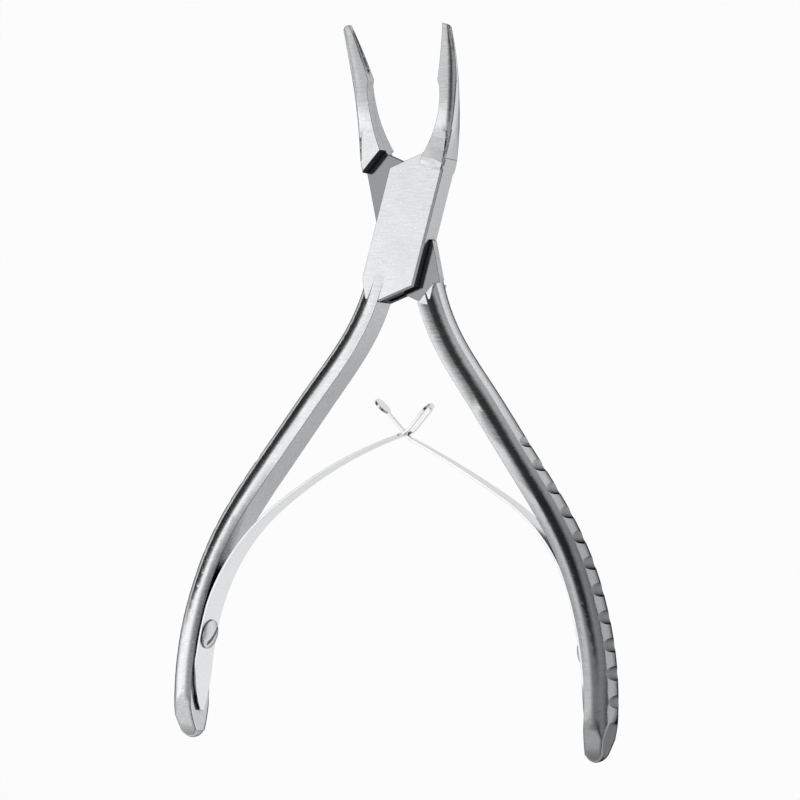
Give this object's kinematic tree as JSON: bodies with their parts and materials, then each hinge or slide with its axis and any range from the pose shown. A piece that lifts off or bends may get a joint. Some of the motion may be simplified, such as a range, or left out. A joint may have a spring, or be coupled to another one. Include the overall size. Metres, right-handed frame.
{
  "type": "bone rongeur",
  "caption": "Bone rongeur with curved cupped jaws, a box joint turning on a screw, notched curved handles and a linked pair of leaf springs.",
  "frame": {"origin": "on the pivot axis, at the plain front face of the joint", "axes": "+X right across the instrument as seen from its front, +Y from the handles to the jaws, +Z out of the front face along the pivot axis"},
  "size_m": [0.0926, 0.1371, 0.0116],
  "materials": {
    "satin_steel": "satin",
    "spring_steel": "polished",
    "screw_steel": "polished"
  },
  "bodies": {
    "front_lever_body": {"front_lever": "satin_steel", "pivot_screw": "screw_steel", "left_spring_screw": "screw_steel"},
    "rear_lever_body": {"rear_lever": "satin_steel", "right_spring_screw": "screw_steel"},
    "left_spring_body": {"left_spring": "spring_steel"},
    "right_spring_body": {"right_spring": "spring_steel"}
  },
  "joints": [
    {"name": "jaw_pivot", "type": "hinge", "parent": "front_lever_body", "child": "rear_lever_body", "pos_m": [0, 0, -0.0029], "axis": [0, 0, 1], "range_deg": [-27.4, 0], "stiffness_Nm_per_rad": 1.5},
    {"name": "left_spring_flex", "type": "hinge", "parent": "front_lever_body", "child": "left_spring_body", "pos_m": [-0.03288, -0.06012, -0.0029], "axis": [0, 0, 1], "range_deg": [-0.5, 15.5], "deforming": ["left_spring"]},
    {"name": "right_spring_flex", "type": "hinge", "parent": "rear_lever_body", "child": "right_spring_body", "pos_m": [0.03011, -0.05512, -0.0029], "axis": [0, 0, 1], "range_deg": [-24.5, 0.5], "deforming": ["right_spring"]}
  ],
  "couplings": [
    {"joint": "left_spring_flex", "follows": "jaw_pivot", "ratio": -0.5474},
    {"joint": "right_spring_flex", "follows": "jaw_pivot", "ratio": 0.8759}
  ]
}
